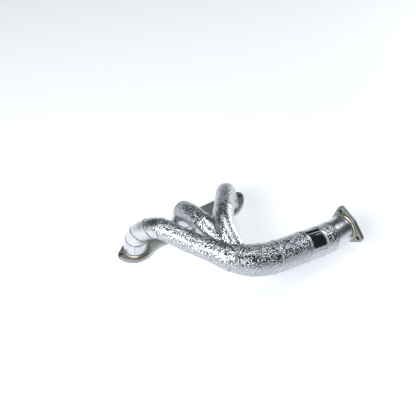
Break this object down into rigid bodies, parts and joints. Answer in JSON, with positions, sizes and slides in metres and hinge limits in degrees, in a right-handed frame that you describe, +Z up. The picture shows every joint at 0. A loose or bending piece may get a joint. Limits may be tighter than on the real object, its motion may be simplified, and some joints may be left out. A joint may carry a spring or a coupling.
{
  "type": "exhaust manifold",
  "caption": "Three-into-one exhaust manifold with a port flange, bent primary tubes wrapped in embossed foil, a merge collector and a long outlet with a three-lobed flange.",
  "frame": {"origin": "centre of the bounding box, on the plane that the head flange and the outlet flange stand on", "axes": "+X along the head flange towards the outlet end, +Y from the collector towards the head flange, +Z up, away from the gasket face"},
  "size_m": [0.4454, 0.296, 0.1259],
  "materials": {
    "flange_steel": "satin machined steel",
    "tube_steel": "drawn steel tube",
    "weld": "heat-tinted weld bead",
    "foil": "bright embossed stainless foil",
    "blanket": "ceramic fibre blanket",
    "label": "gloss black plate without markings"
  },
  "bodies": {
    "root": {"head_flange": "flange_steel", "outlet_flange": "flange_steel", "primary_tube_1_segment_1": "tube_steel", "primary_tube_1_segment_2": "tube_steel", "primary_tube_1_segment_3": "tube_steel", "primary_tube_1_segment_4": "tube_steel", "primary_tube_1_segment_5": "tube_steel", "primary_tube_2_segment_1": "tube_steel", "primary_tube_2_segment_2": "tube_steel", "primary_tube_2_segment_3": "tube_steel", "primary_tube_2_segment_4": "tube_steel", "primary_tube_3_segment_1": "tube_steel", "primary_tube_3_segment_2": "tube_steel", "primary_tube_3_segment_3": "tube_steel", "primary_tube_3_segment_4": "tube_steel", "primary_tube_3_segment_5": "tube_steel", "outlet_pipe_segment_1": "tube_steel", "outlet_pipe_segment_2": "tube_steel", "outlet_pipe_segment_3": "tube_steel", "outlet_pipe_segment_4": "tube_steel", "outlet_pipe_segment_5": "tube_steel", "collector": "tube_steel", "port_weld_1": "weld", "port_weld_2": "weld", "port_weld_3": "weld", "outlet_weld": "weld", "blanket_1": "blanket", "blanket_2": "blanket", "blanket_3": "blanket", "collector_blanket": "blanket", "outlet_blanket": "blanket", "foil_1_segment_1": "foil", "foil_1_segment_2": "foil", "foil_1_segment_3": "foil", "foil_1_segment_4": "foil", "foil_1_segment_5": "foil", "foil_2_segment_1": "foil", "foil_2_segment_2": "foil", "foil_2_segment_3": "foil", "foil_2_segment_4": "foil", "foil_3_segment_1": "foil", "foil_3_segment_2": "foil", "foil_3_segment_3": "foil", "foil_3_segment_4": "foil", "outlet_foil_segment_1": "foil", "outlet_foil_segment_2": "foil", "outlet_foil_segment_3": "foil", "outlet_foil_segment_4": "foil", "outlet_foil_segment_5": "foil", "collector_foil": "foil", "label_plate": "label", "label_frame": "foil"}
  },
  "joints": []
}
